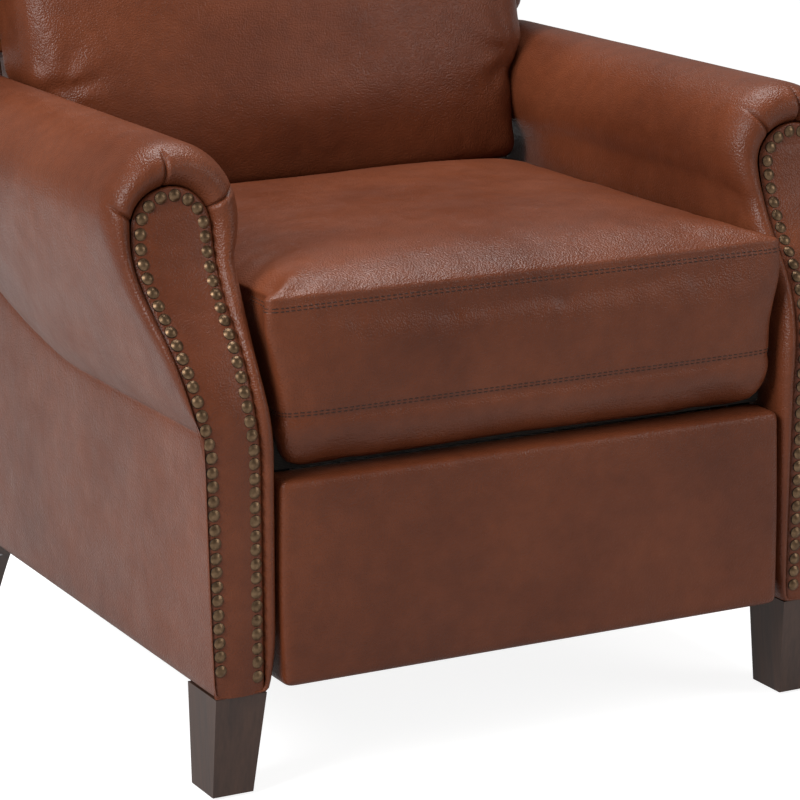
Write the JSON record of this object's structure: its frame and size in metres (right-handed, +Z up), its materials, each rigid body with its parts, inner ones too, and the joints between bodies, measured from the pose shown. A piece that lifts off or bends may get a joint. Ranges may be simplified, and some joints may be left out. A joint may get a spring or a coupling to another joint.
{
  "type": "wingback recliner",
  "caption": "Wingback push-back recliner in brown leather with rolled arms, nailhead trim, tapered wooden legs, a fold-out footrest on crossed links and a reclining back.",
  "frame": {"origin": "on the floor, in the middle of the chair's outline with the footrest closed and the back upright", "axes": "+X to the right of someone who faces the chair, +Y towards its back, +Z up"},
  "size_m": [0.786, 0.8428, 1.033],
  "materials": {
    "leather": "semi-gloss pebbled leather over foam",
    "nail_brass": "antique brass, dark in the rims",
    "leg_wood": "dark espresso stain, satin",
    "frame_wood": "plain sawn hardwood and plywood",
    "mechanism_steel": "black stove enamel",
    "bright_steel": "zinc plated",
    "nylon": "moulded nylon",
    "webbing": "woven webbing and felt"
  },
  "bodies": {
    "base": {"left_arm_frame": "frame_wood", "right_arm_frame": "frame_wood", "left_arm_pad": "leather", "right_arm_pad": "leather", "left_arm_facing": "leather", "right_arm_facing": "leather", "left_arm_nails": "nail_brass", "right_arm_nails": "nail_brass", "front_stretcher": "frame_wood", "rear_panel": "leather", "left_slide_rail": "mechanism_steel", "right_slide_rail": "mechanism_steel", "front_left_leg": "leg_wood", "front_right_leg": "leg_wood", "rear_left_leg": "leg_wood", "rear_right_leg": "leg_wood", "leg_glides": "nylon", "leg_bolts": "bright_steel"},
    "seat": {"left_side_plate": "mechanism_steel", "right_side_plate": "mechanism_steel", "seat_front_rail": "frame_wood", "seat_rear_rail": "frame_wood", "seat_springs": "bright_steel", "seat_deck": "webbing", "seat_cushion": "leather", "glide_shoes": "nylon", "seat_pivot_pins": "bright_steel"},
    "back": {"left_back_stile": "frame_wood", "right_back_stile": "frame_wood", "back_bottom_rail": "frame_wood", "back_mid_rail": "frame_wood", "back_top_rail": "frame_wood", "back_straps": "webbing", "outside_back": "leather", "left_back_bracket": "mechanism_steel", "right_back_bracket": "mechanism_steel", "back_cushion": "leather", "left_wing": "leather", "right_wing": "leather"},
    "rear_links": {"left_rear_link": "mechanism_steel", "right_rear_link": "mechanism_steel", "torque_tube": "bright_steel", "rear_link_rivets": "bright_steel"},
    "cross_links": {"left_cross_link": "mechanism_steel", "right_cross_link": "mechanism_steel", "cross_link_rivets": "bright_steel"},
    "front_links": {"left_front_link": "mechanism_steel", "right_front_link": "mechanism_steel", "front_link_rivets": "bright_steel"},
    "carrier_links": {"left_carrier_link": "mechanism_steel", "right_carrier_link": "mechanism_steel"},
    "brace_links": {"left_brace_link": "mechanism_steel", "right_brace_link": "mechanism_steel", "brace_link_rivets": "bright_steel"},
    "drive_links": {"left_drive_link": "mechanism_steel", "right_drive_link": "mechanism_steel"},
    "footrest": {"footrest_board": "frame_wood", "footrest_pad": "leather", "left_footrest_bracket": "mechanism_steel", "right_footrest_bracket": "mechanism_steel"}
  },
  "joints": [
    {"name": "seat_slide", "type": "slide", "parent": "base", "child": "seat", "axis": [0, -1, 0], "range_m": [0, 0.0505]},
    {"name": "back_recline", "type": "hinge", "parent": "seat", "child": "back", "pos_m": [0, 0.24597, 0.33], "axis": [-1, 0, 0], "range_deg": [0, 32]},
    {"name": "footrest_fold", "type": "hinge", "parent": "seat", "child": "rear_links", "pos_m": [0, -0.27303, 0.268], "axis": [-1, 0, 0], "range_deg": [0, 92]},
    {"name": "cross_link_fold", "type": "hinge", "parent": "rear_links", "child": "cross_links", "pos_m": [0, -0.27303, 0.173], "axis": [1, 0, 0], "range_deg": [0, 124.2]},
    {"name": "front_link_fold", "type": "hinge", "parent": "rear_links", "child": "front_links", "pos_m": [0, -0.27303, 0.117], "axis": [1, 0, 0], "range_deg": [0, 124.2]},
    {"name": "carrier_link_fold", "type": "hinge", "parent": "cross_links", "child": "carrier_links", "pos_m": [0, -0.32213, 0.27366], "axis": [-1, 0, 0], "range_deg": [0, 124.2]},
    {"name": "brace_link_fold", "type": "hinge", "parent": "carrier_links", "child": "brace_links", "pos_m": [0, -0.32213, 0.12767], "axis": [1, 0, 0], "range_deg": [0, 124.2]},
    {"name": "drive_link_swing", "type": "hinge", "parent": "seat", "child": "drive_links", "pos_m": [0, -0.25723, 0.2508], "axis": [-1, 0, 0], "range_deg": [0, 92]},
    {"name": "footrest_turn", "type": "hinge", "parent": "front_links", "child": "footrest", "pos_m": [0, -0.36071, 0.29676], "axis": [-1, 0, 0], "range_deg": [0, 124.2]}
  ],
  "couplings": [
    {"joint": "cross_link_fold", "follows": "footrest_fold", "ratio": 1.3478},
    {"joint": "front_link_fold", "follows": "footrest_fold", "ratio": 1.3478},
    {"joint": "carrier_link_fold", "follows": "footrest_fold", "ratio": 1.3478},
    {"joint": "brace_link_fold", "follows": "footrest_fold", "ratio": 1.3478},
    {"joint": "footrest_turn", "follows": "footrest_fold", "ratio": 1.3478},
    {"joint": "drive_link_swing", "follows": "footrest_fold", "ratio": 0.99783},
    {"joint": "seat_slide", "follows": "footrest_fold", "m_per_rad": 0.031139}
  ]
}
